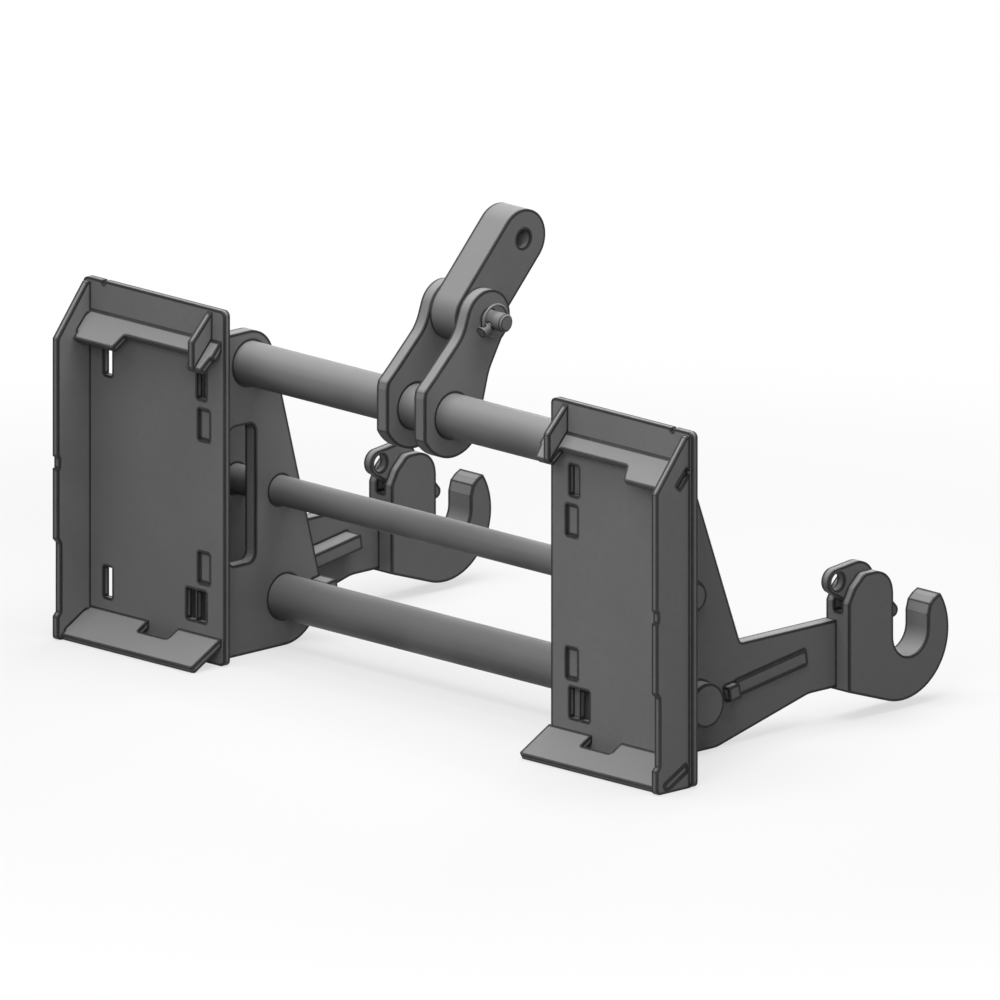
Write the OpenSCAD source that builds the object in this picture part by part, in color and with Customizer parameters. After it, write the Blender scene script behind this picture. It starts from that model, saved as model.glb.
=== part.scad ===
/* [Overall] */
// Width over the outer edges of the two coupler plates
frame_w = 1164; // [1100:2:1240]
// Distance between the middles of the two lower hooks
arm_pitch = 874; // [840:2:900]
// Running gap left between pieces that are only laid together
seat_gap = 0.3; // [0.2:0.05:0.5]
// Radial clearance of a pin in a hole that turns on it
run_gap = 0.05; // [0.02:0.01:0.08]

/* [Coupler plates] */
// Width of one coupler plate
plate_w = 270; // [250:1:290]
// Height of one coupler plate
plate_h = 487; // [475:1:520]
// Thickness of the coupler plates
plate_t = 10; // [8:0.5:14]
// How far a plate stands out past its side flange
plate_ledge = 4.5; // [2:0.5:8]
// Corner radius of a plate
plate_r = 8; // [4:1:14]
// Width of an open slot in a plate
slot_w = 18; // [14:1:20]
// Height of every slot in a plate
slot_h = 42; // [36:1:48]
// Height of the lower row of slots at their middle
slot_low_z = 75; // [70:1:85]
// Depth of the upper row of slots below the top edge, at their middle
slot_high_drop = 107; // [100:1:112]
// Height of the lower cheek tab at its middle
tab_low_z = 128.5; // [125:0.5:140]
// Depth of the upper cheek tab below the top edge, at its middle
tab_high_drop = 162.5; // [158:0.5:168]
// Distance of the outer slots from the outer edge of a plate
slot_out = 47; // [42:1:60]
// Distance of the relief in the top edge from the outer edge of a plate
top_relief_out = 41; // [38:1:44]
// Width and depth of the relief in the top edge
top_relief = 5; // [3:0.5:7]

/* [Side flanges] */
// Depth of a side flange in front of its plate
flange_d = 61; // [56:1:70]
// Thickness of a side flange
flange_t = 10; // [8:0.5:12]
// Depth below the plate's top edge where the flange starts to slope back
flange_slope_drop = 74; // [64:1:84]
// Depth of the flange's top corner below the plate's top edge
flange_top_drop = 5; // [3:0.5:10]
// Height of the small nick in the front edge
flange_nick_h = 16; // [10:1:24]
// Depth of the small nick in the front edge
flange_nick_d = 3; // [2:0.5:5]
// Height of the small nick at its middle
flange_nick_z = 243; // [230:1:256]
// Distance from the edge of a flange to the slots for the lips
lip_tab_in = 9; // [8:0.5:12]
// How far the slot for the top lip stops short of its lower end
top_tab_short = 11; // [9:0.5:14]
// Depth of the relief in the front edge of a flange
flange_relief = 5.5; // [2:0.5:8]
// Height of the foot below the relief
flange_foot_z = 32; // [26:1:40]
// Height where the relief ends
flange_relief_z = 138; // [120:1:150]

/* [Lips] */
// Thickness of the lips
lip_t = 10; // [8:0.5:12]
// Depth below the plate's top edge where the top lip leaves it
top_lip_drop = 41; // [36:1:48]
// Slope of the top lip below level
top_lip_slope = 47; // [42:1:50]
// Length of the top lip down its slope where it is deep
top_lip_l = 49; // [44:1:54]
// Length of the top lip down its slope where it is cut back
top_lip_cut = 27; // [20:1:34]
// Width of the deep end of the top lip beside the flange
top_lip_end = 83; // [70:1:100]
// Width of the deep piece of the top lip under the gusset
top_lip_claw = 28; // [22:1:36]
// Height at which the bottom lip leaves its plate
low_lip_z = 38; // [36:1:44]
// Slope of the bottom lip below level
low_lip_slope = 28.5; // [24:0.5:29]
// Length of the bottom lip down its slope
low_lip_l = 64; // [56:1:68]
// Width of the latch notch in the bottom lip
notch_w = 57; // [50:1:66]
// Depth of the latch notch down the slope
notch_d = 24; // [18:1:30]
// Distance of the notch from the inner end of the lip
notch_in = 82; // [70:1:95]
// Sideways set of both lips towards the left
lip_shift = 4.5; // [0:0.5:6]

/* [Top gussets] */
// Thickness of a top gusset
gusset_t = 10; // [8:0.5:12]
// Depth of a top gusset in front of its plate
gusset_d = 36; // [30:1:42]
// Distance of a gusset from the inner edge of its plate
gusset_in = 23; // [20:1:30]

/* [Cheeks and arms] */
// Thickness of the cheek plates and the arm plates
cheek_t = 20; // [16:1:22]
// Distance of the inner cheek from the inner edge of its plate
cheek_in = 29.5; // [26:0.5:32]
// Radius of the cheeks round the top bar
cheek_top_r = 44; // [40:1:48]
// Width of the hand slot in an inner cheek
hand_w = 50; // [40:1:52]
// Distance of the hand slot behind its plate
hand_y = 26; // [20:1:28]
// Height of the lower end of the hand slot
hand_low_z = 125; // [115:1:140]
// Depth of the upper end of the hand slot below the plate's top edge
hand_high_drop = 172; // [164:1:186]
// Height of the top edge of an arm
arm_top_z = 135; // [125:1:145]
// Distance behind the plates of the corner between cheek and arm
arm_knee_y = 209; // [205:1:220]
// Height of the underside of an arm at the hook
arm_under_z = 43; // [38:1:50]
// Distance behind the plates where the arm ends at the hook
arm_l = 387; // [370:1:420]
// Distance behind the plates where the underside starts to rise
arm_rise_y = 165; // [155:1:180]
// Length over which the underside rises
arm_rise_l = 170; // [150:1:180]
// Radius of the two bends of the underside
arm_bend_r = 50; // [30:5:70]

/* [Bars] */
// Diameter of the top bar and the bottom bar
bar_d = 60; // [54:1:62]
// Diameter of the middle bar
mid_bar_d = 40; // [34:1:42]
// Distance of the top bar behind the plates
top_bar_y = 65; // [63:0.5:70]
// Depth of the top bar below the plate's top edge
top_bar_drop = 88.5; // [84:0.5:95]
// Distance of the middle bar behind the plates
mid_bar_y = 121; // [118:1:126]
// Height of the middle bar
mid_bar_z = 214.5; // [205:0.5:225]
// Distance of the bottom bar behind the plates
low_bar_y = 129.5; // [126:0.5:134]
// Height of the bottom bar
low_bar_z = 67; // [64:1:72]
// How far the bottom bar stands out past the arm plates
low_bar_out = 20; // [10:1:26]
// How far the other bars stand out past the arm plates
bar_out = 6; // [2:1:12]

/* [Arm braces] */
// Thickness of the brace bar that runs along an arm
brace_t = 20; // [16:1:22]
// Slope of the brace bar above level
brace_slope = 8.8; // [6:0.2:11]
// Length of the brace bar
brace_l = 130; // [100:1:135]
// How far the brace bar stands in from the arm
brace_in = 26; // [18:1:32]
// How far the brace bar stands out of the arm
brace_out = 2.5; // [1:0.5:4]
// Distance behind the plates of the front end of the brace bar
brace_y = 201; // [200:1:206]
// Height of the brace bar at its front end
brace_z = 75; // [72:1:78]
// Size of the square key bar through both cheeks
key_t = 20; // [16:1:22]
// How far the key bar stands in past the inner cheek
key_in = 28; // [20:1:34]
// How far the key bar stands out past the arm plate
key_out = 10; // [6:1:14]

/* [Lower hooks] */
// Thickness of a hook
hook_t = 44; // [40:1:48]
// Radius of the ball seat
seat_r = 32.5; // [30:0.5:33]
// Distance of the ball seat behind the front face of the hook
seat_y = 113.5; // [112:0.5:116]
// Height of the middle of the ball seat
seat_z = 102; // [99:0.5:104]
// Radius of the outer curve of the hook
hook_r = 86; // [84:0.5:88]
// Distance of the outer curve's middle behind the hook's front face
hook_y = 97; // [95:0.5:99]
// Height of the outer curve's middle
hook_z = 97.5; // [96:0.5:99]
// Height of the tip of the hook
tip_z = 146; // [142:1:152]
// Radius of the rounded head that holds the latch
head_r = 33; // [31:0.5:34]
// Height of the middle of the head
head_z = 164; // [162:0.5:168]
// How far the underside of the hook lies below the arm
hook_drop = 4; // [2:0.5:8]

/* [Latches] */
// Thickness of a latch
latch_t = 14; // [12:0.5:15]
// Side clearance of the latch in its slot
latch_gap = 0.6; // [0.4:0.1:1]
// Distance of the eye in front of the latch pin
eye_out = 54; // [52:0.5:58]
// Height of the eye above the latch pin
eye_rise = 26; // [24:0.5:30]
// Distance of the lever's hump in front of the latch pin
hump_out = 17.5; // [15:0.5:20]
// Height of the middle of the hump above the latch pin
hump_rise = 17.5; // [15:0.5:20]
// Radius of the hump
hump_r = 30; // [28:0.5:32]
// Radius of the latch round its pin
hub_r = 23; // [20:0.5:26]
// Distance of the nose behind the latch pin
nose_out = 47.5; // [45:0.5:50]
// Depth of the nose below the latch pin
nose_drop = 31.5; // [29:0.5:34]
// Radius of the nose
nose_r = 9; // [8:0.5:10]
// Radius of the latch pin
latch_pin_r = 6; // [5:0.25:7]
// Radius of the latch's eye
eye_r = 17.5; // [16:0.5:20]
// Radius of the hole in the latch's eye
eye_hole_r = 12; // [8:0.5:13]
// Height above the latch pin up to which the latch slot is cut
slot_rise = 90; // [70:1:110]
// How far in front of the hook the latch slot is cut
slot_out_y = 20; // [10:1:30]
// Radius of the wire of the latch spring
spring_wire_r = 1.1; // [0.8:0.1:1.3]

/* [Top link] */
// Gap between the two ears
ear_gap = 51.7; // [51:0.1:56]
// Thickness of an ear
ear_t = 20; // [16:1:22]
// Radius of the ears round the top bar
ear_low_r = 58; // [54:1:62]
// Radius of the ears round the link pin
ear_top_r = 39; // [36:1:42]
// Distance of the front edge of the ears behind the plates
ear_front_y = 14; // [10:0.5:18]
// Depth of the ears' front edge below the top bar
ear_foot_drop = 24; // [18:1:30]
// Height of the bend in the ears' back edge above the top bar
ear_back_rise = 50; // [44:1:56]
// Radius of the bend in the ears' back edge
ear_back_r = 80; // [60:5:100]
// Distance behind the link pin where the ears' back edge meets the upper round
ear_neck_out = 24; // [22:0.5:26]
// Depth below the link pin of the upper bend in the ears' front edge
ear_shoulder_drop = 16; // [10:1:22]
// Radius of the upper bend in the ears' front edge
ear_shoulder_r = 60; // [40:5:80]
// Distance of the waist behind the ears' front edge
ear_waist_in = 22; // [18:1:26]
// Height of the waist in the ears' front edge above the top bar
ear_waist_rise = 58; // [52:1:64]
// Radius of the waist in the ears' front edge
ear_waist_r = 40; // [25:5:50]
// Distance of the link pin behind the plates
pin_y = 132; // [128:0.5:136]
// Height of the link pin above the top bar
pin_rise = 120.5; // [114:0.5:130]
// Diameter of the link pin
pin_d = 25.4; // [24:0.1:26]
// How far the link pin stands out of the right ear
pin_out = 35; // [32:1:42]
// Thickness of the top link
link_t = 50; // [46:0.5:50.5]
// Width of the top link
link_w = 80; // [74:1:84]
// Distance between the two holes of the top link
link_l = 124; // [110:1:140]
// Angle of the top link above level as it is stored
link_angle = 47; // [30:1:60]
// Diameter of the hole at the free end of the top link
link_hole_d = 25.7; // [25:0.1:26.5]

/* [Linch pin] */
// Diameter of the linch pin
linch_d = 9; // [8:0.5:10]
// Radius of the linch pin's ring
ring_r = 22; // [21:0.5:27]
// Radius of the wire of the ring
ring_wire_r = 2; // [1.8:0.1:2.5]
// Angle of the linch pin's head below level, towards the front
linch_angle = 23; // [10:1:40]

/* [Hidden] */
$fn = 64;

// Steps in the rounding of one corner
corner_n = 6;
// Colours of the two finishes
paint = [0.31, 0.31, 0.31];
steel = [0.56, 0.56, 0.56];

// Plates, from the outer edges inwards
plate_out_x = frame_w / 2;
plate_in_x = plate_out_x - plate_w;
flange_x = plate_out_x - plate_ledge - flange_t;
gusset_x = plate_in_x + gusset_in;
cheek_x = plate_in_x + cheek_in;
// Arms stand where their near faces are one pitch apart
arm_out_x = (arm_pitch + cheek_t) / 2;
arm_x = arm_out_x - cheek_t;

// Places behind the back of the plates, measured from the front of the plates
top_y = plate_t + top_bar_y;
mid_y = plate_t + mid_bar_y;
low_y = plate_t + low_bar_y;
link_y = plate_t + pin_y;
hook_front = plate_t + arm_l;
back_y = hook_front + hook_y + hook_r;
// Moves the model so that the middle of its depth lies over the origin
centre_y = (flange_d - back_y) / 2;

// Heights that hang from the plates' top edge
slot_high_z = plate_h - slot_high_drop;
tab_high_z = plate_h - tab_high_drop;
flange_slope_z = plate_h - flange_slope_drop;
flange_top_z = plate_h - flange_top_drop;
top_lip_z = plate_h - top_lip_drop;
hand_high_z = plate_h - hand_high_drop;
top_bar_z = plate_h - top_bar_drop;
pin_z = top_bar_z + pin_rise;

bar_r = bar_d / 2;
mid_bar_r = mid_bar_d / 2;
pin_r = pin_d / 2;
linch_r = linch_d / 2;
ear_x = ear_gap / 2;
tab_l = plate_t - 3;

// Hook places
seat_c = [hook_front + seat_y, seat_z];
curve_c = [hook_front + hook_y, hook_z];
head_c = [hook_front + seat_y - seat_r - head_r - 0.4, head_z];
latch_slot_t = latch_t + 2 * latch_gap;
hook_side = (hook_t - latch_slot_t) / 2;
eye_c = head_c + [-eye_out, eye_rise];
hump_c = head_c + [-hump_out, hump_rise];
nose_c = head_c + [nose_out, -nose_drop];
// How far a straight web starts inside the circles that it joins
blend = 0.02;
// Steel left in front of and below the slot, and the sill that the lever passes over
front_wall = 13;
slot_floor_z = seat_z - 14;
slot_sill_z = head_z - 17;
spring_r = latch_pin_r + spring_wire_r + 0.2;
// Steel left behind the blind end of the latch pin's hole
pin_blind = 7;

// A point at an angle and distance from another
function polar(c, r, a) = c + r * [cos(a), sin(a)];

// Ends of the outer tangent of two circles, on the left of the way from the first to the second
function tangent(c1, r1, c2, r2) =
    let (d = c2 - c1, a = atan2(d[1], d[0]) + acos((r1 - r2) / norm(d)))
    [polar(c1, r1, a), polar(c2, r2, a)];

// One rounded corner of an outline, where p is [y, z, radius]
function corner(a, p, b) =
    let (c = [p[0], p[1]], u = ([a[0], a[1]] - c) / norm([a[0], a[1]] - c),
        v = ([b[0], b[1]] - c) / norm([b[0], b[1]] - c),
        half = acos(u * v) / 2, m = (u + v) / norm(u + v),
        o = c + m * p[2] / sin(half), s = c + u * p[2] / tan(half), e = c + v * p[2] / tan(half),
        a0 = atan2(s[1] - o[1], s[0] - o[0]), turn = atan2(e[1] - o[1], e[0] - o[0]) - a0,
        sweep = turn > 180 ? turn - 360 : turn < -180 ? turn + 360 : turn)
    p[2] == 0 ? [c] : [for (i = [0 : corner_n]) polar(o, p[2], a0 + sweep * i / corner_n)];

// An outline whose corners each have their own radius
function rounded(p) = [for (i = [0 : len(p) - 1])
    each corner(p[(i + len(p) - 1) % len(p)], p[i], p[(i + 1) % len(p)])];

// Stands a side outline, drawn as depth and height, on edge and gives it a thickness
module side_plate(x, t) translate([x, 0, 0]) rotate([90, 0, 90]) linear_extrude(t) children();

// A round bar from one side to the other
module cross_bar(x0, x1, y, z, r) translate([x0, y, z]) rotate([0, 90, 0]) cylinder(r = r, h = x1 - x0);

// A disc of an outline
module disc(c, r) translate(c) circle(r);

// Two discs and the web between them
module strap(c1, r1, c2, r2) {
    disc(c1, r1);
    disc(c2, r2);
    left = tangent(c1, r1, c2, r2);
    right = tangent(c2, r2, c1, r1);
    polygon([c1, right[1], right[0], c2, left[1], left[0]]);
}

// The left half is the right half seen in a mirror
module on_left() mirror([1, 0, 0]) children();

// A slot cut through a plate from front to back
module plate_slot(x, z, w) translate([x - w / 2, -1, z - slot_h / 2]) cube([w, plate_t + 2, slot_h]);

module coupler_plate() color(paint) difference() {
    translate([plate_in_x, plate_t, 0]) rotate([90, 0, 0]) linear_extrude(plate_t)
        polygon(rounded([[0, 0, plate_r], [plate_w, 0, plate_r], [plate_w, plate_h, plate_r],
            [0, plate_h, plate_r]]));
    // Open slots near the outer edge
    for (z = [slot_low_z, slot_high_z]) plate_slot(plate_out_x - slot_out, z, slot_w - 2);
    // Slots over the inner cheek, the lower one as a pair
    plate_slot(cheek_x + cheek_t / 2 + 4.5, slot_high_z, slot_w);
    for (k = [0, 1]) plate_slot(cheek_x + cheek_t / 2 + 4.5 + k * (slot_w + 2), slot_low_z, slot_w);
    // Slots that the tabs of the inner cheek stand in
    for (z = [tab_low_z, tab_high_z]) plate_slot(cheek_x + cheek_t / 2, z, cheek_t + 2);
    // Small relief in the top edge beside the flange
    translate([plate_out_x - top_relief_out, -1, plate_h - top_relief])
        cube([top_relief, plate_t + 2, top_relief + 1]);
}

// Cross-section of a lip that falls forwards from the plate
module lip_section(z, slope, from, to, t) {
    d = [-cos(slope), -sin(slope)];
    n = [sin(slope), -cos(slope)];
    polygon([[0, z] + from * d, [0, z] + to * d, [0, z] + to * d + t * n, [0, z] + from * d + t * n]);
}

module side_flange() color(paint) difference() {
    side_plate(flange_x, flange_t) polygon(rounded([[-seat_gap / 3, 0, 0], [-flange_d, 0, flange_relief],
        [-flange_d, flange_foot_z, 1], [flange_relief - flange_d, flange_foot_z + flange_relief, 1],
        [flange_relief - flange_d, flange_relief_z - flange_relief, 1], [-flange_d, flange_relief_z, 1],
        [-flange_d, flange_slope_z, 4], [-flange_relief, flange_top_z, 3], [-seat_gap / 3, flange_top_z, 0]]));
    // Slots for the tabs of the two lips
    tab_t = lip_t + 2 * seat_gap;
    side_plate(flange_x - 1, flange_t + 2)
        lip_section(low_lip_z + seat_gap, low_lip_slope, lip_tab_in, low_lip_l - lip_tab_in, tab_t);
    side_plate(flange_x - 1, flange_t + 2)
        lip_section(top_lip_z + seat_gap, top_lip_slope, lip_tab_in, top_lip_l - top_tab_short, tab_t);
    // Small nick in the front edge at half height
    translate([flange_x - 1, -flange_d - 1, flange_nick_z - flange_nick_h / 2])
        cube([flange_t + 2, flange_nick_d + 1, flange_nick_h]);
}

// A lip cut out of a sloping strip; its plan is drawn as distance across and distance down the slope
module sloping_plan(z, slope) translate([0, 0, z]) rotate([slope, 0, 0]) rotate([180, 0, 0])
    linear_extrude(lip_t) children();

// Side is 1 on the right and -1 on the left; the lips are set a little to the left of the plates
module top_lip(side) {
    inner = plate_in_x + 1 - side * lip_shift;
    claw = gusset_x + 13 - side * lip_shift;
    step = flange_x - top_lip_end - side * lip_shift;
    end = flange_x - seat_gap;
    color(paint) intersection() {
        sloping_plan(top_lip_z, top_lip_slope) polygon(rounded([
            [inner, -lip_t, 0], [inner, top_lip_cut, 1], [claw - top_lip_claw - 4, top_lip_cut, 1],
            [claw - top_lip_claw, top_lip_l, 2], [claw, top_lip_l, 2], [claw + 4, top_lip_cut, 1],
            [step - 4, top_lip_cut, 1], [step + 4, top_lip_l, 2], [end, top_lip_l, 0],
            [end, top_lip_l - top_tab_short - seat_gap, 0],
            [end + flange_t / 2, top_lip_l - top_tab_short - seat_gap, 0],
            [end + flange_t / 2, lip_tab_in + seat_gap, 0], [end, lip_tab_in + seat_gap, 0],
            [end, -lip_t, 0]]));
        translate([0, -flange_d * 2 - seat_gap / 3, 0]) cube([frame_w, flange_d * 2, plate_h]);
    }
}

module bottom_lip(side) {
    inner = plate_in_x + 1 - side * lip_shift;
    end = flange_x - seat_gap;
    color(paint) intersection() {
        sloping_plan(low_lip_z, low_lip_slope) polygon(rounded([
            [inner, -lip_t, 0], [inner, low_lip_l, 4], [end, low_lip_l, 0],
            [end, low_lip_l - lip_tab_in - seat_gap, 0],
            [end + flange_t + seat_gap, low_lip_l - lip_tab_in - seat_gap, 0],
            [end + flange_t + seat_gap, lip_tab_in + seat_gap, 0], [end, lip_tab_in + seat_gap, 0],
            [end, -lip_t, 0],
            [inner + notch_in + notch_w, -lip_t, 0], [inner + notch_in + notch_w, notch_d, 2],
            [inner + notch_in, notch_d, 2], [inner + notch_in, -lip_t, 0]]));
        translate([0, -flange_d * 2 - seat_gap / 3, 0]) cube([frame_w, flange_d * 2, plate_h]);
    }
}

// Height of the top face of the top lip at a depth in front of the plate
function top_lip_at(y) = top_lip_z + y * tan(top_lip_slope);

module top_gusset() color(paint) side_plate(gusset_x, gusset_t)
    polygon(rounded([[-seat_gap / 3, top_lip_at(0) + seat_gap, 0], [-seat_gap / 3, plate_h - 4, 0],
        [-gusset_d, plate_h - 2 - gusset_d * 1.05, 3],
        [-gusset_d, top_lip_at(-gusset_d) + seat_gap, 0]]));

module inner_cheek() {
    back = plate_t + seat_gap / 3;
    rear_low = polar([low_y, low_bar_z], low_bar_z, rear_angle(low_bar_z, cheek_top_r));
    rear_top = polar([top_y, top_bar_z], cheek_top_r, rear_angle(low_bar_z, cheek_top_r));
    color(paint) side_plate(cheek_x, cheek_t) difference() {
        union() {
            polygon([[back, 0], [low_y, 0], rear_low, rear_top, [top_y, top_bar_z + cheek_top_r],
                [back, top_bar_z + cheek_top_r]]);
            disc([low_y, low_bar_z], low_bar_z);
            disc([top_y, top_bar_z], cheek_top_r);
            // Tabs that stand in the slots of the plate
            for (z = [tab_low_z, tab_high_z])
                translate([plate_t - tab_l, z - slot_h / 2 + seat_gap])
                    square([tab_l + 1, slot_h - 2 * seat_gap]);
        }
        disc([top_y, top_bar_z], bar_r + seat_gap);
        disc([mid_y, mid_bar_z], mid_bar_r + seat_gap);
        disc([low_y, low_bar_z], bar_r + seat_gap);
        polygon(rounded([[plate_t + hand_y, hand_low_z, 12], [plate_t + hand_y + hand_w, hand_low_z, 12],
            [plate_t + hand_y + hand_w, hand_high_z, 12], [plate_t + hand_y, hand_high_z, 12]]));
        key_section(key_t + 2 * seat_gap);
    }
}

// Direction of the rear edge's normal, from the lower curve to the upper one
function rear_angle(r1, r2) =
    let (d = [top_y - low_y, top_bar_z - low_bar_z])
    atan2(d[1], d[0]) - acos((r1 - r2) / norm(d));

// Middle of the key bar and the brace bar, on the brace's own slope
key_c = [plate_t + brace_y - key_t / 2 - 1, brace_z - 3];
brace_c = [plate_t + brace_y, brace_z];

module key_section(size) translate(key_c) rotate(brace_slope) translate([-size / 2, -size / 2]) square(size);

module brace_section(grow) translate(brace_c) rotate(brace_slope)
    translate([-grow, -brace_t / 2 - grow]) square([brace_l + 2 * grow, brace_t + 2 * grow]);

module arm_plate() {
    back = plate_t + seat_gap / 3;
    knee = [plate_t + arm_knee_y, arm_top_z];
    slope_top = tangent_from(knee, [top_y, top_bar_z], cheek_top_r);
    color(paint) side_plate(arm_x, cheek_t) difference() {
        union() {
            polygon(rounded([[back, 0, 0], [plate_t + arm_rise_y, 0, arm_bend_r],
                [plate_t + arm_rise_y + arm_rise_l, arm_under_z, arm_bend_r], [hook_front, arm_under_z, 0],
                [hook_front, arm_top_z, 0], [knee[0], knee[1], 8], [slope_top[0], slope_top[1], 0],
                [top_y, top_bar_z + cheek_top_r, 0], [back, top_bar_z + cheek_top_r, 0]]));
            disc([top_y, top_bar_z], cheek_top_r);
        }
        disc([top_y, top_bar_z], bar_r + seat_gap);
        disc([mid_y, mid_bar_z], mid_bar_r + seat_gap);
        disc([low_y, low_bar_z], bar_r + seat_gap);
        key_section(key_t + 2 * seat_gap);
        brace_section(seat_gap);
    }
}

// Point where a line from p touches a circle, on the far side in the turning sense
function tangent_from(p, c, r) =
    let (d = p - c, a = atan2(d[1], d[0]) + acos(r / norm(d))) polar(c, r, a);

module bar(y, z, r, out) color(steel) cross_bar(-arm_out_x - out, arm_out_x + out, y, z, r);

module arm_brace() color(paint) side_plate(arm_x - brace_in, brace_in + cheek_t + brace_out) brace_section(0);

module key_bar() color(paint) side_plate(cheek_x - key_in, arm_out_x + key_out - cheek_x + key_in)
    key_section(key_t);

// Outline of a hook without its slot
module hook_outline() {
    low = tangent_from([hook_front, arm_under_z - hook_drop], curve_c, hook_r);
    throat = seat_c[0] - seat_r;
    tip = [curve_c[0] + sqrt(hook_r * hook_r - (tip_z - hook_z) * (tip_z - hook_z)), tip_z];
    difference() {
        union() {
            intersection() {
                disc(curve_c, hook_r);
                polygon([[low[0] - 5, 0], [2 * curve_c[0], 0], [2 * curve_c[0], tip_z], tip, tip + [-10, -5],
                    [seat_c[0] + seat_r + 4, tip_z - 12], [seat_c[0] + seat_r, tip_z - 26],
                    [seat_c[0], seat_z], [low[0] - 5, seat_z]]);
            }
            disc(head_c, head_r);
            polygon(rounded([[hook_front, arm_under_z - hook_drop, 0], [low[0], low[1], 0],
                [curve_c[0], seat_z, 0], [throat, seat_z, 0], [throat, head_z, 0], [head_c[0], head_c[1], 0],
                [head_c[0], head_z + head_r - blend, 0], [head_c[0] - 18, head_z + head_r - blend, 12],
                [hook_front + 11, head_z + 16, 10], [hook_front, head_z - 4, 6]]));
        }
        disc(seat_c, seat_r);
        translate([throat, seat_z]) square([2 * seat_r, 2 * head_z]);
    }
}

// Both hooks are alike, so each starts at the left face of its arm
module hook(x) color(paint) difference() {
    side_plate(x, hook_t) hook_outline();
    // Slot that the latch swings in
    side_plate(x + hook_side, latch_slot_t) polygon([[hook_front + front_wall, slot_floor_z],
        [seat_c[0], slot_floor_z], [seat_c[0], head_z + slot_rise],
        [hook_front - slot_out_y, head_z + slot_rise],
        [hook_front - slot_out_y, slot_sill_z], [hook_front + front_wall, slot_sill_z]]);
    // Blind hole for the latch pin
    cross_bar(x - 1, x + hook_t - pin_blind, head_c[0], head_c[1], latch_pin_r + run_gap);
}

module latch(x) color(paint) difference() {
    side_plate(x + hook_side + latch_gap, latch_t) difference() {
        union() {
            strap(eye_c, eye_r, hump_c, hump_r);
            strap(head_c, hub_r, nose_c, nose_r);
        }
        disc(eye_c, eye_hole_r);
    }
    cross_bar(x - 1, x + hook_t, head_c[0], head_c[1], latch_pin_r + run_gap);
    // Recess for the spring
    cross_bar(x, x + hook_side + latch_gap + 4 * spring_wire_r + 0.4, head_c[0], head_c[1],
        spring_r + spring_wire_r + 0.3);
}

module latch_pin(x) color(steel)
    cross_bar(x + 1, x + hook_t - pin_blind - 0.3, head_c[0], head_c[1], latch_pin_r);

module latch_spring(x) color(steel) for (k = [0, 1])
    translate([x + hook_side + latch_gap + 0.1 + spring_wire_r * (1 + 2 * k), head_c[0], head_c[1]])
        rotate([0, 90, 0]) rotate_extrude() translate([spring_r, 0]) circle(spring_wire_r, $fn = 16);

module link_ear() {
    pin_c = [link_y, pin_z];
    bar_c = [top_y, top_bar_z];
    front = plate_t + ear_front_y;
    color(paint) side_plate(ear_x, ear_t) difference() {
        union() {
            intersection() {
                disc(bar_c, ear_low_r);
                translate([front, 0]) square([2 * link_y, 2 * pin_z]);
            }
            disc(pin_c, ear_top_r);
            polygon(rounded([[front, top_bar_z - ear_foot_drop, 0], [top_y, top_bar_z - ear_low_r + 4, 0],
                [top_y + ear_low_r * cos(10), top_bar_z + ear_low_r * sin(10), 0],
                [top_y + ear_low_r + 10, top_bar_z + ear_back_rise, ear_back_r],
                [link_y + ear_neck_out, pin_z - ear_top_r * sin(52), 0],
                [link_y, pin_z, 0], [link_y - ear_top_r * cos(20), pin_z + ear_top_r * sin(20), 0],
                [link_y - ear_top_r - 8, pin_z - ear_shoulder_drop, ear_shoulder_r],
                [front + ear_waist_in, top_bar_z + ear_waist_rise, ear_waist_r],
                [front + 2, top_bar_z + 40, 6], [front, top_bar_z + 30, 4]]));
        }
        disc(bar_c, bar_r + seat_gap);
        disc(pin_c, pin_r + run_gap);
    }
}

link_tip = polar([link_y, pin_z], link_l, link_angle);

module top_link() color(paint) side_plate(-link_t / 2, link_t) difference() {
    strap([link_y, pin_z], link_w / 2, link_tip, link_w / 2);
    disc([link_y, pin_z], pin_r + run_gap);
    disc(link_tip, link_hole_d / 2);
}

pin_end_x = ear_x + ear_t + pin_out;
linch_x = ear_x + ear_t + 0.4 * pin_out;
linch_c = [linch_x, link_y, pin_z];

// Lays a piece drawn along Z on the linch pin's own line, head towards the front
module on_linch() translate(linch_c) rotate([90 + linch_angle, 0, 0]) children();

module link_pin() color(steel) difference() {
    union() {
        cross_bar(-ear_x - ear_t - seat_gap, pin_end_x - 3, link_y, pin_z, pin_r);
        translate([pin_end_x - 3, link_y, pin_z]) rotate([0, 90, 0])
            cylinder(r1 = pin_r, r2 = pin_r - 3, h = 3);
        cross_bar(-ear_x - ear_t - seat_gap - 9, -ear_x - ear_t - seat_gap, link_y, pin_z, pin_r + 8);
    }
    on_linch() cylinder(r = linch_r + seat_gap, h = 4 * pin_r, center = true);
}

// Places along the linch pin, from the middle of the link pin
head_l = 14;
linch_tip = ring_r - 4.7;
ring_z = 1;
ring_hinge_z = ring_z + ring_r;
linch_head_r = linch_r + 3;
// The ring is curved, so its hole is wider than its wire by the rise of the arc inside the head
ring_rise = ring_r - sqrt(ring_r * ring_r - linch_head_r * linch_head_r);
ring_hole_r = ring_wire_r + ring_rise + seat_gap / 2;

module linch_pin() color(steel) on_linch() difference() {
    union() {
        translate([0, 0, -linch_tip + 3]) cylinder(r = linch_r, h = linch_tip - 3 + ring_hinge_z);
        translate([0, 0, -linch_tip]) cylinder(r1 = linch_r - 2, r2 = linch_r, h = 3);
        translate([0, 0, ring_hinge_z - head_l / 2]) cylinder(r = linch_head_r, h = head_l);
    }
    translate([0, 0, ring_hinge_z]) rotate([90, 0, 0])
        cylinder(r = ring_hole_r, h = 4 * linch_head_r, center = true);
}

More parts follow.
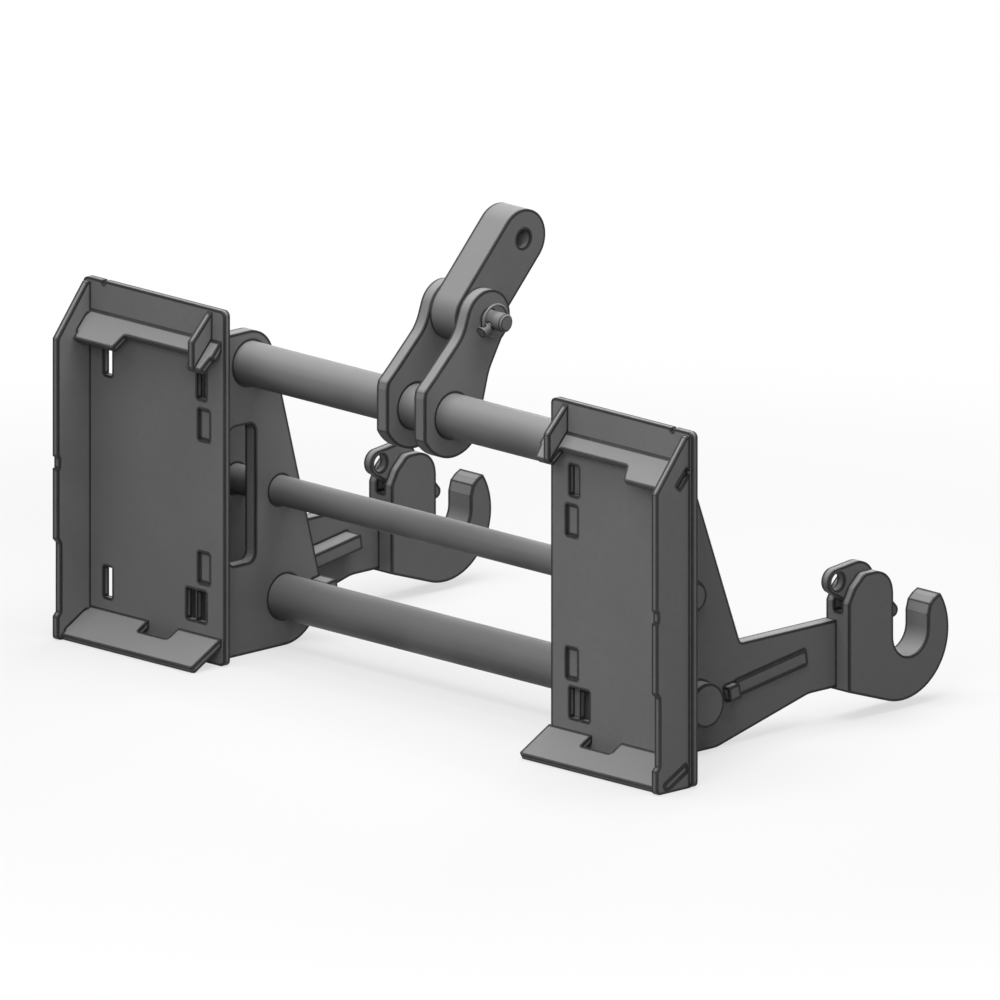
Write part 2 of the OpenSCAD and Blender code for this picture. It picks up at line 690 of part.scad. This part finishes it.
module linch_ring() color(steel) on_linch() translate([0, 0, ring_z]) rotate([0, 90, 0])
    rotate_extrude() translate([ring_r, 0]) circle(ring_wire_r, $fn = 20);

// Draws one node in its place in the frame
module place() translate([0, centre_y, 0]) children();

place() on_left() coupler_plate();  // left_coupler_plate
place() coupler_plate();  // right_coupler_plate
place() on_left() side_flange();  // left_side_flange
place() side_flange();  // right_side_flange
place() on_left() top_lip(-1);  // left_top_lip
place() top_lip(1);  // right_top_lip
place() on_left() bottom_lip(-1);  // left_bottom_lip
place() bottom_lip(1);  // right_bottom_lip
place() on_left() top_gusset();  // left_top_gusset
place() top_gusset();  // right_top_gusset
place() on_left() inner_cheek();  // left_inner_cheek
place() inner_cheek();  // right_inner_cheek
place() on_left() arm_plate();  // left_arm_plate
place() arm_plate();  // right_arm_plate
place() bar(top_y, top_bar_z, bar_r, bar_out);  // top_bar
place() bar(mid_y, mid_bar_z, mid_bar_r, bar_out);  // middle_bar
place() bar(low_y, low_bar_z, bar_r, low_bar_out);  // bottom_bar
place() on_left() arm_brace();  // left_arm_brace
place() arm_brace();  // right_arm_brace
place() on_left() key_bar();  // left_key_bar
place() key_bar();  // right_key_bar
place() hook(-arm_out_x);  // left_hook
place() hook(arm_x);  // right_hook
place() latch(-arm_out_x);  // left_latch
place() latch(arm_x);  // right_latch
place() latch_pin(-arm_out_x);  // left_latch_pin
place() latch_pin(arm_x);  // right_latch_pin
place() latch_spring(-arm_out_x);  // left_latch_spring
place() latch_spring(arm_x);  // right_latch_spring
place() on_left() link_ear();  // left_link_ear
place() link_ear();  // right_link_ear
place() top_link();
place() link_pin();
place() linch_pin();
place() linch_ring();
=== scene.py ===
import math

import bmesh
import bpy
from mathutils import Matrix, Vector


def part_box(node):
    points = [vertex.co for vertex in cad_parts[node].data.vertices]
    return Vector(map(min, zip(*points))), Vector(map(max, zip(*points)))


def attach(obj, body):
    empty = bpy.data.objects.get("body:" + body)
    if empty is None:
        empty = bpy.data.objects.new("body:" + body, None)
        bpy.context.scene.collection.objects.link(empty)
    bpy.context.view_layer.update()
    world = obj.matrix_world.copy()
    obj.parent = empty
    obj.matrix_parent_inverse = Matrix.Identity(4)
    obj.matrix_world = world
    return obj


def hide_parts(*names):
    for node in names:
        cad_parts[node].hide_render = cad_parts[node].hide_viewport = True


bl_info = {
    "name": "Three-point adapter frame",
    "version": (1, 0, 0),
    "blender": (4, 5, 0),
    "location": "3D View > Sidebar > Adapter frame",
    "description": "Paints the adapter frame, winds its latch springs and sets it on a studio floor",
    "category": "Object",
}

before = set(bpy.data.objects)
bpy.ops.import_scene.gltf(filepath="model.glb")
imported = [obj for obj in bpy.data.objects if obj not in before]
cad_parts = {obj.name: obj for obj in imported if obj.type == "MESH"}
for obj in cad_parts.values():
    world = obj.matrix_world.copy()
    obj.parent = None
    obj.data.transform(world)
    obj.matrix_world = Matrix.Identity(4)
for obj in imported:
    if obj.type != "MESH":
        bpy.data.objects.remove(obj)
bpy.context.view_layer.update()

# Sides of the frame, right is +X
SIDES = ("left", "right")

# Painted pieces that come in a left and a right one, by how they were made
CUT_PLATES = ("coupler_plate", "side_flange", "top_lip", "bottom_lip", "top_gusset", "inner_cheek",
              "arm_plate", "link_ear")
BAR_STOCK = ("arm_brace", "key_bar")
CAST_PIECES = ("hook", "latch")
# Pieces of bare steel
CROSS_BARS = ("top_bar", "middle_bar", "bottom_bar")
TURNED_PINS = ("link_pin", "linch_pin", "linch_ring", "left_latch_pin", "right_latch_pin")

# The photograph is a parallel view; these place its camera, in metres
VIEW_AZIMUTH = math.radians(46.0)
VIEW_ELEVATION = math.radians(14.5)
VIEW_WIDTH = 1.3277
VIEW_CENTRE = Vector((0.0073, -0.0595, 0.2529))
VIEW_DISTANCE = 4.0

UP = (0.0, 0.0, 1.0)
DOWN = (0.0, 0.0, -1.0)
WHITE = (1.0, 1.0, 1.0, 1.0)

# How fine the noises of the finishes are, in waves to a metre
CLOUDS = 7.0
SPECK_FIELDS = 9.0
BLOOM = 11.0
TOP_LIGHT_PATCHES = 24.0
EDGE_PATCHES = 60.0
SPECKS = 210.0
ORANGE_PEEL = 420.0

# How light the painted top light, the painted shade under things and along edges, and the worn specks are
# beside the finish under them
TOP_LIT_PAINT = 1.55
TOP_LIT_STEEL = 1.4
UNDERSIDE_SHADE = 0.15
EDGE_SHADE = 0.06
WORN = 0.45

# Turn of the rounded normal where the painted shade along an edge starts and where it is full, and the
# normal's samples
EDGE_STARTS = 0.004
EDGE_FULL = 0.018
EDGE_SAMPLES = 16

# Steps in one turn of spring wire, and sides of the wire
WIRE_STEPS = 40
WIRE_SIDES = 10

# Lamps by name: place in metres and width of the square that gives light
LAMPS = {
    "top_light": ((0.2, -0.1, 3.2), 2.8),
    "front_light": ((-0.9, -2.1, 2.9), 1.8),
    "side_light": ((1.8, -2.6, 1.8), 1.6),
    "back_light": ((-1.4, 3.0, 1.9), 1.8),
}

# The floor lies this far below the frame
FLOOR_GAP = 0.0005
# Grey of the floor for the light that it throws back, and where its shadow shows
FLOOR_GREY = (0.12, 0.12, 0.12, 1.0)
SHADOW_GREY = (0.72, 0.72, 0.72, 1.0)
# The shadow fades out between these distances from the middle of the frame
SHADOW_FULL = 1.0
SHADOW_GONE = 1.8

# Sockets of the Principled shader that stay the same all over a finish
SOCKETS = {"metallic": "Metallic", "roughness": "Roughness", "specular_ior_level": "Specular IOR Level"}


def node(name):
    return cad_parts[name]


def both(name):
    return [f"{side}_{name}" for side in SIDES]


class Socket:
    """An output of a shader node that can be used in sums."""

    def __init__(self, shader, output):
        self.shader = shader
        self.output = output

    def maths(self, operation, *values, clamp=False):
        result = self.shader.node("ShaderNodeMath", {"operation": operation, "use_clamp": clamp},
                                  dict(enumerate(values)))
        return result("Value")

    def __add__(self, other):
        return self.maths("ADD", self, other)

    __radd__ = __add__

    def __sub__(self, other):
        return self.maths("SUBTRACT", self, other)

    def __rsub__(self, other):
        return self.maths("SUBTRACT", other, self)

    def __mul__(self, other):
        return self.maths("MULTIPLY", self, other)

    __rmul__ = __mul__

    def clamped(self):
        return self.maths("ADD", self, 0.0, clamp=True)

    def ramp(self, low, high):
        """0 below low, 1 above high and smooth between them."""
        result = self.shader.node("ShaderNodeMapRange", {"interpolation_type": "SMOOTHSTEP"},
                                  {"Value": self, "From Min": low, "From Max": high})
        return result("Result")

    def dot(self, other):
        result = self.shader.node("ShaderNodeVectorMath", {"operation": "DOT_PRODUCT"}, {0: self, 1: other})
        return result("Value")

    def length(self):
        return self.shader.node("ShaderNodeVectorMath", {"operation": "LENGTH"}, {0: self})("Value")

    def scaled(self, factors):
        result = self.shader.node("ShaderNodeVectorMath", {"operation": "MULTIPLY"}, {0: self, 1: factors})
        return result("Vector")


class Shader:
    """A new material whose nodes are added one call at a time."""

    def __init__(self, name, **constants):
        self.material = bpy.data.materials.new(name)
        self.material.use_nodes = True
        self.tree = self.material.node_tree
        self.tree.nodes.clear()
        self.surface = self.tree.nodes.new("ShaderNodeBsdfPrincipled")
        self.out = self.tree.nodes.new("ShaderNodeOutputMaterial")
        self.tree.links.new(self.surface.outputs["BSDF"], self.out.inputs["Surface"])
        for socket, value in constants.items():
            self.surface.inputs[SOCKETS[socket]].default_value = value

    def put(self, socket, value):
        """Links an output to a socket, or sets its value."""
        if isinstance(value, Socket):
            self.tree.links.new(value.output, socket)
        elif hasattr(socket.default_value, "__len__") and not hasattr(value, "__len__"):
            socket.default_value = (value,) * len(socket.default_value)
        elif hasattr(value, "__len__"):
            socket.default_value = tuple(value)[:len(socket.default_value)]
        else:
            socket.default_value = value

    def node(self, kind, settings=None, inputs=None):
        """Adds a node and returns a function that gives its outputs by name."""
        made = self.tree.nodes.new(kind)
        for name, value in (settings or {}).items():
            setattr(made, name, value)
        for name, value in (inputs or {}).items():
            self.put(made.inputs[name], value)
        return lambda name: Socket(self, made.outputs[name])

    def noise(self, place, scale, detail=4.0, roughness=0.55):
        return self.node("ShaderNodeTexNoise", {}, {"Vector": place, "Scale": scale, "Detail": detail,
                                                    "Roughness": roughness})("Fac")

    def mix(self, factor, first, second):
        """Mixes two colours."""
        made = self.tree.nodes.new("ShaderNodeMix")
        made.data_type = "RGBA"
        for name, value in (("Factor_Float", factor), ("A_Color", first), ("B_Color", second)):
            self.put(next(s for s in made.inputs if s.identifier == name), value)
        return Socket(self, next(s for s in made.outputs if s.identifier == "Result_Color"))

    def place(self):
        """Place on the object, in metres."""
        return self.node("ShaderNodeTexCoord")("Object")

    def edge(self, radius):
        """1 on a sharp edge or in a corner, and 0 away from it."""
        rounded = self.node("ShaderNodeBevel", {"samples": EDGE_SAMPLES}, {"Radius": radius})("Normal")
        normal = self.node("ShaderNodeNewGeometry")("Normal")
        return (1.0 - rounded.dot(normal)).ramp(EDGE_STARTS, EDGE_FULL)

    def facing(self, way):
        """1 on a face that looks this way, and 0 from a right angle on."""
        normal = self.node("ShaderNodeNewGeometry")("Normal")
        return normal.dot(way).clamped()

    def finish(self, colour, roughness, height, strength, distance):
        """Links what varies over the surface and returns the material."""
        self.put(self.surface.inputs["Base Color"], colour)
        self.put(self.surface.inputs["Roughness"], roughness)
        bump = self.node("ShaderNodeBump", {},
                         {"Height": height, "Strength": strength, "Distance": distance})
        self.put(self.surface.inputs["Normal"], bump("Normal"))
        return self.material


def shade(colour, factor):
    """A colour made lighter or darker."""
    return tuple(c * factor for c in colour[:3]) + (1.0,)


def painted(name, look, tone, grain, orange_peel):
    """Satin paint on steel: cloudy, with painted top light on faces that look up, painted shade on faces
    that look down, dark painted shade along its edges and in its corners, and a few worn specks.

    The grain is in waves to a metre, and orange_peel is its share of fine bumps.
    """
    shader = Shader(name, metallic=0.0, specular_ior_level=0.3)
    where = shader.place()
    base = shade(look.paint, tone)
    clouds = shader.noise(where, CLOUDS, 3.0).ramp(0.3, 0.7)
    mottle = shader.noise(where, grain, 6.0, 0.65)
    colour = shader.mix(clouds, shade(base, 0.93), shade(base, 1.07))
    colour = shader.mix(mottle.ramp(0.45, 0.75) * 0.35, colour, shade(base, 0.82))
    # Painted top light: faces that look up are made lighter, a little patchy
    painted_top_light = shader.facing(UP) * (0.8 + 0.2 * shader.noise(where, TOP_LIGHT_PATCHES, 5.0)) * look.painted_top_light
    colour = shader.mix(painted_top_light, colour, shade(base, TOP_LIT_PAINT))
    # Painted shade: faces that look down are made darker
    colour = shader.mix(shader.facing(DOWN) * look.painted_underside_shade, colour, shade(base, UNDERSIDE_SHADE))
    # Painted shade: dark lines along edges and in corners, a little patchy
    edge = shader.edge(look.edge_width)
    painted_shade = edge * (0.85 + 0.15 * shader.noise(where, EDGE_PATCHES, 3.0)) * look.edge_dark
    colour = shader.mix(painted_shade, colour, shade(base, EDGE_SHADE))
    fields = shader.noise(where, SPECK_FIELDS, 2.0).ramp(0.5, 0.65)
    specks = shader.noise(where, SPECKS, 2.0).ramp(0.71, 0.76) * fields
    colour = shader.mix(specks * 0.5, colour, shade(base, WORN))
    roughness = 0.5 + 0.12 * clouds + 0.1 * mottle - 0.06 * specks
    height = shader.noise(where, ORANGE_PEEL, 2.0) * orange_peel + mottle * (1.0 - orange_peel)
    return shader.finish(colour, roughness, height, strength=0.22, distance=0.0006)


def machined(name, look, tone, across, reach=1.0):
    """Turned or drawn steel: fine lines, a dull bloom, painted top light on faces that look up, painted
    shade on faces that look down, and dark painted shade along its edges and in its corners.

    The lines have across waves to a metre along X, Y and Z, and reach scales the width of the edges.
    """
    shader = Shader(name, metallic=0.08, specular_ior_level=0.25)
    where = shader.place()
    base = shade(look.steel, tone)
    lines = shader.noise(where.scaled(across), 1.0, 3.0, 0.6)
    bloom = shader.noise(where, BLOOM, 4.0).ramp(0.35, 0.7)
    colour = shader.mix(lines, shade(base, 0.86), shade(base, 1.12))
    colour = shader.mix(bloom * 0.35, colour, shade(base, 0.78))
    # Painted top light: faces that look up are made lighter
    colour = shader.mix(shader.facing(UP) * look.painted_top_light, colour, shade(base, TOP_LIT_STEEL))
    # Painted shade: faces that look down are made darker
    colour = shader.mix(shader.facing(DOWN) * look.painted_underside_shade, colour, shade(base, UNDERSIDE_SHADE))
    # Painted shade: dark lines along edges and in corners
    edge = shader.edge(look.edge_width * reach)
    colour = shader.mix(edge * look.edge_dark, colour, shade(base, EDGE_SHADE))
    roughness = 0.42 + 0.18 * bloom + 0.08 * lines
    return shader.finish(colour, roughness, lines, strength=0.12, distance=0.0004)


def give(material, names):
    """Puts a material on every face of the named pieces."""
    for name in names:
        slots = node(name).data.materials
        if len(slots):
            for index in range(len(slots)):
                slots[index] = material
        else:
            slots.append(material)


def wire(name, points, radius):
    """A wire of one thickness along a row of points, with closed ends."""
    mesh = bpy.data.meshes.new(name)
    made = bpy.data.objects.new(name, mesh)
    bpy.context.collection.objects.link(made)
    bm = bmesh.new()
    rings = []
    across = Vector((1.0, 0.0, 0.0))
    for i, here in enumerate(points):
        along = (points[min(i + 1, len(points) - 1)] - points[max(i - 1, 0)]).normalized()
        first = along.cross(across).normalized()
        second = along.cross(first).normalized()
        rings.append([bm.verts.new(here + radius * (math.cos(a) * first + math.sin(a) * second))
                      for a in (2 * math.pi * k / WIRE_SIDES for k in range(WIRE_SIDES))])
    for low, high in zip(rings, rings[1:]):
        for k in range(WIRE_SIDES):
            after = (k + 1) % WIRE_SIDES
            bm.faces.new((low[k], low[after], high[after], high[k]))
    bm.faces.new(rings[0][::-1])
    bm.faces.new(rings[-1])
    bmesh.ops.recalc_face_normals(bm, faces=bm.faces)
    for face in bm.faces:
        face.smooth = len(face.verts) == 4
    bm.to_mesh(mesh)
    bm.free()
    return made


class FrameLook(bpy.types.PropertyGroup):
    """Colours of the finishes and the light and shade painted into them"""
    paint: bpy.props.FloatVectorProperty(
        name="Paint", description="Colour of the painted plates", subtype="COLOR", size=3,
        default=(0.195, 0.195, 0.195), min=0.0, max=1.0)
    steel: bpy.props.FloatVectorProperty(
        name="Steel", description="Colour of the bars and pins", subtype="COLOR", size=3,
        default=(0.2, 0.2, 0.2), min=0.0, max=1.0)
    # Painted top light: how much lighter faces that look up are made
    painted_top_light: bpy.props.FloatProperty(
        name="Painted_top_light_strength", description="How much dust lies on faces that look up", default=0.85, min=0.0, max=1.0,
        subtype="FACTOR")
    # Painted shade: how much darker faces that look down are made
    painted_underside_shade: bpy.props.FloatProperty(
        name="Underside grime", description="How much grime hangs on faces that look down", default=0.85,
        min=0.0, max=1.0, subtype="FACTOR")
    # Painted shade along edges and in corners: how dark it is, and below, how far it reaches
    edge_dark: bpy.props.FloatProperty(
        name="Edge grime", description="How dark the edges and corners are", default=1.0, min=0.0, max=1.0,
        subtype="FACTOR")
    edge_width: bpy.props.FloatProperty(
        name="Edge width", description="How far the grime reaches from an edge", default=0.0075, min=0.0005,
        max=0.02, unit="LENGTH", precision=4)


class SpringSize(bpy.types.PropertyGroup):
    """Sizes of the two latch springs"""
    wire: bpy.props.FloatProperty(
        name="Wire", description="Thickness of the spring wire", default=0.0019, min=0.001, max=0.0022,
        unit="LENGTH", precision=4)
    turns: bpy.props.FloatProperty(
        name="Turns", description="Number of turns in a latch spring", default=1.9, min=1.0, max=2.0)


class StageSize(bpy.types.PropertyGroup):
    """Size of the floor and strength of the lights"""
    floor: bpy.props.FloatProperty(
        name="Floor", description="Width of the floor", default=14.0, min=4.0, max=40.0, unit="LENGTH")
    floor_shadow: bpy.props.FloatProperty(
        name="Floor shadow", description="Strength of the frame's shadow on the floor", default=0.35,
        min=0.0, max=1.0, subtype="FACTOR")
    top_light: bpy.props.FloatProperty(
        name="Top light", description="Power of the soft light above", default=112.0, min=0.0, max=600.0,
        unit="POWER")
    front_light: bpy.props.FloatProperty(
        name="Front light", description="Power of the soft light in front", default=14.0, min=0.0,
        max=600.0, unit="POWER")
    side_light: bpy.props.FloatProperty(
        name="Side light", description="Power of the soft light at the right front", default=35.0, min=0.0,
        max=600.0, unit="POWER")
    back_light: bpy.props.FloatProperty(
        name="Back light", description="Power of the soft light behind", default=38.0, min=0.0, max=600.0,
        unit="POWER")
    sky: bpy.props.FloatProperty(
        name="Sky", description="Strength of the even light from all round", default=0.12, min=0.0, max=2.0)


class PaintPlates(bpy.types.Operator):
    """Paints the cut plates, the bar stock and the cast hooks and latches"""
    bl_idname = "adapter_frame.paint_plates"
    bl_label = "Paint the plates"

    def execute(self, context):
        look = context.scene.frame_look
        plate = painted("painted_plate", look, tone=1.0, grain=85.0, orange_peel=0.6)
        stock = painted("painted_bar_stock", look, tone=0.97, grain=120.0, orange_peel=0.5)
        cast = painted("painted_casting", look, tone=0.95, grain=160.0, orange_peel=0.25)
        # Painted shade: the top link gets a darker copy of the plate paint, toned down against the stronger
        # light on it
        link = painted("painted_top_link", look, tone=0.9, grain=110.0, orange_peel=0.4)
        for name in CUT_PLATES:
            give(plate, both(name))
        for name in BAR_STOCK:
            give(stock, both(name))
        for name in CAST_PIECES:
            give(cast, both(name))
        give(link, ["top_link"])
        return {"FINISHED"}


class FinishSteel(bpy.types.Operator):
    """Gives the cross bars and the pins their turned steel finish"""
    bl_idname = "adapter_frame.finish_steel"
    bl_label = "Finish the bars and pins"

    def execute(self, context):
        look = context.scene.frame_look
        bar = machined("drawn_bar", look, tone=0.94, across=(3.0, 260.0, 260.0))
        pin = machined("turned_pin", look, tone=0.85, across=(700.0, 60.0, 60.0), reach=0.4)
        give(bar, CROSS_BARS)
        give(pin, TURNED_PINS)
        return {"FINISHED"}


class WindSprings(bpy.types.Operator):
    """Winds the wire of the two latch springs round their pins"""
    bl_idname = "adapter_frame.wind_springs"
    bl_label = "Wind the latch springs"

    def execute(self, context):
        size = context.scene.spring_size
        look = context.scene.frame_look
        steel = machined("spring_steel", look, tone=0.9, across=(300.0, 300.0, 300.0), reach=0.1)
        for side in SIDES:
            low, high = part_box(f"{side}_latch_spring")
            middle = (Vector(low) + Vector(high)) / 2
            radius = (high[2] - low[2]) / 2 - size.wire / 2
            width = high[0] - low[0] - size.wire
            points = []
            for i in range(int(WIRE_STEPS * size.turns) + 1):
                share = i / (WIRE_STEPS * size.turns)
                turn = 2 * math.pi * size.turns * share
                points.append(Vector((low[0] + size.wire / 2 + width * share,
                                      middle.y + radius * math.cos(turn),
                                      middle.z + radius * math.sin(turn))))
            spring = wire(f"{side}_spring_wire", points, size.wire / 2)
            spring.data.materials.append(steel)
            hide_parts(f"{side}_latch_spring")
            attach(spring, "frame")
        return {"FINISHED"}


class SetStage(bpy.types.Operator):
    """Makes the floor, the soft lights, the sky and the camera"""
    bl_idname = "adapter_frame.set_stage"
    bl_label = "Set the stage"

    def execute(self, context):
        size = context.scene.stage_size
        self.floor(size)
        self.sky(context.scene, size)
        for name, (place, width) in LAMPS.items():
            self.lamp(name, Vector(place), width, getattr(size, name))
        self.camera(context.scene)
        context.scene.view_settings.view_transform = "Standard"
        return {"FINISHED"}

    @staticmethod
    def backdrop(shader, shadow):
        """White to the camera and in reflections, with a faint shadow, and grey to other rays."""
        path = shader.node("ShaderNodeLightPath")
        seen = (path("Is Camera Ray") + path("Is Glossy Ray") + path("Is Transmission Ray")).clamped()
        place = shader.node("ShaderNodeNewGeometry")("Position")
        near = 1.0 - place.length().ramp(SHADOW_FULL, SHADOW_GONE)
        white = shader.node("ShaderNodeEmission", {}, {"Color": WHITE, "Strength": 1.0})
        shaded = shader.node("ShaderNodeBsdfDiffuse", {}, {"Color": SHADOW_GREY})
        shown = shader.node("ShaderNodeMixShader", {},
                            {0: near * shadow, 1: white("Emission"), 2: shaded("BSDF")})
        plain = Socket(shader, shader.surface.outputs["BSDF"])
        mixed = shader.node("ShaderNodeMixShader", {}, {0: seen, 1: plain, 2: shown("Shader")})
        shader.tree.links.new(mixed("Shader").output, shader.out.inputs["Surface"])

    def floor(self, size):
        mesh = bpy.data.meshes.new("studio_floor")
        bm = bmesh.new()
        bmesh.ops.create_grid(bm, x_segments=1, y_segments=1, size=size.floor / 2,
                              matrix=Matrix.Translation((0.0, 0.0, -FLOOR_GAP)))
        bm.to_mesh(mesh)
        bm.free()
        made = bpy.data.objects.new("studio_floor", mesh)
        bpy.context.collection.objects.link(made)
        shader = Shader("floor_white", roughness=0.9)
        shader.surface.inputs["Base Color"].default_value = FLOOR_GREY
        self.backdrop(shader, size.floor_shadow)
        mesh.materials.append(shader.material)

    @staticmethod
    def sky(scene, size):
        """A dim even light whose place looks white to the camera and in reflections."""
        world = bpy.data.worlds.new("studio_sky")
        world.use_nodes = True
        tree = world.node_tree
        tree.nodes.clear()
        out = tree.nodes.new("ShaderNodeOutputWorld")
        dim = tree.nodes.new("ShaderNodeBackground")
        white = tree.nodes.new("ShaderNodeBackground")
        mixed = tree.nodes.new("ShaderNodeMixShader")
        path = tree.nodes.new("ShaderNodeLightPath")
        dim.inputs["Color"].default_value = WHITE
        dim.inputs["Strength"].default_value = size.sky
        white.inputs["Color"].default_value = WHITE
        seen = path.outputs["Is Camera Ray"]
        for kind in ("Is Glossy Ray", "Is Transmission Ray"):
            either = tree.nodes.new("ShaderNodeMath")
            either.operation = "MAXIMUM"
            tree.links.new(seen, either.inputs[0])
            tree.links.new(path.outputs[kind], either.inputs[1])
            seen = either.outputs["Value"]
        tree.links.new(seen, mixed.inputs["Fac"])
        tree.links.new(dim.outputs["Background"], mixed.inputs[1])
        tree.links.new(white.outputs["Background"], mixed.inputs[2])
        tree.links.new(mixed.outputs["Shader"], out.inputs["Surface"])
        scene.world = world

    @staticmethod
    def lamp(name, place, width, power):
        """A square soft light that points at the middle of the view."""
        light = bpy.data.lights.new(name, "AREA")
        light.shape = "SQUARE"
        light.size = width
        light.energy = power
        made = bpy.data.objects.new(name, light)
        made.location = place
        made.rotation_euler = (VIEW_CENTRE - place).to_track_quat("-Z", "Y").to_euler()
        bpy.context.collection.objects.link(made)

    @staticmethod
    def camera(scene):
        """A parallel camera in the photograph's direction."""
        data = bpy.data.cameras.new("photo_camera")
        data.type = "ORTHO"
        data.ortho_scale = VIEW_WIDTH
        made = bpy.data.objects.new("photo_camera", data)
        back = Vector((math.sin(VIEW_AZIMUTH) * math.cos(VIEW_ELEVATION),
                       -math.cos(VIEW_AZIMUTH) * math.cos(VIEW_ELEVATION), math.sin(VIEW_ELEVATION)))
        made.location = VIEW_CENTRE + back * VIEW_DISTANCE
        made.rotation_euler = (-back).to_track_quat("-Z", "Y").to_euler()
        bpy.context.collection.objects.link(made)
        scene.camera = made


# In the order in which they run
OPERATORS = (SetStage, PaintPlates, FinishSteel, WindSprings)


class FramePanel(bpy.types.Panel):
    """Lists the sizes, colours and steps of the frame in the sidebar"""
    bl_idname = "VIEW3D_PT_adapter_frame"
    bl_label = "Adapter frame"
    bl_space_type = "VIEW_3D"
    bl_region_type = "UI"
    bl_category = "Adapter frame"

    def draw(self, context):
        scene = context.scene
        for group in (scene.frame_look, scene.spring_size, scene.stage_size):
            box = self.layout.box()
            for name in group.__annotations__:
                box.prop(group, name)
        for operator in OPERATORS:
            self.layout.operator(operator.bl_idname)


GROUPS = {"frame_look": FrameLook, "spring_size": SpringSize, "stage_size": StageSize}


def register():
    for kind in (*GROUPS.values(), *OPERATORS, FramePanel):
        bpy.utils.register_class(kind)
    for name, kind in GROUPS.items():
        setattr(bpy.types.Scene, name, bpy.props.PointerProperty(type=kind))


def unregister():
    for name in GROUPS:
        delattr(bpy.types.Scene, name)
    for kind in (FramePanel, *OPERATORS, *reversed(GROUPS.values())):
        bpy.utils.unregister_class(kind)


def main():
    register()
    for operator in OPERATORS:
        group, name = operator.bl_idname.split(".")
        getattr(getattr(bpy.ops, group), name)()


if __name__ == "__main__":
    main()
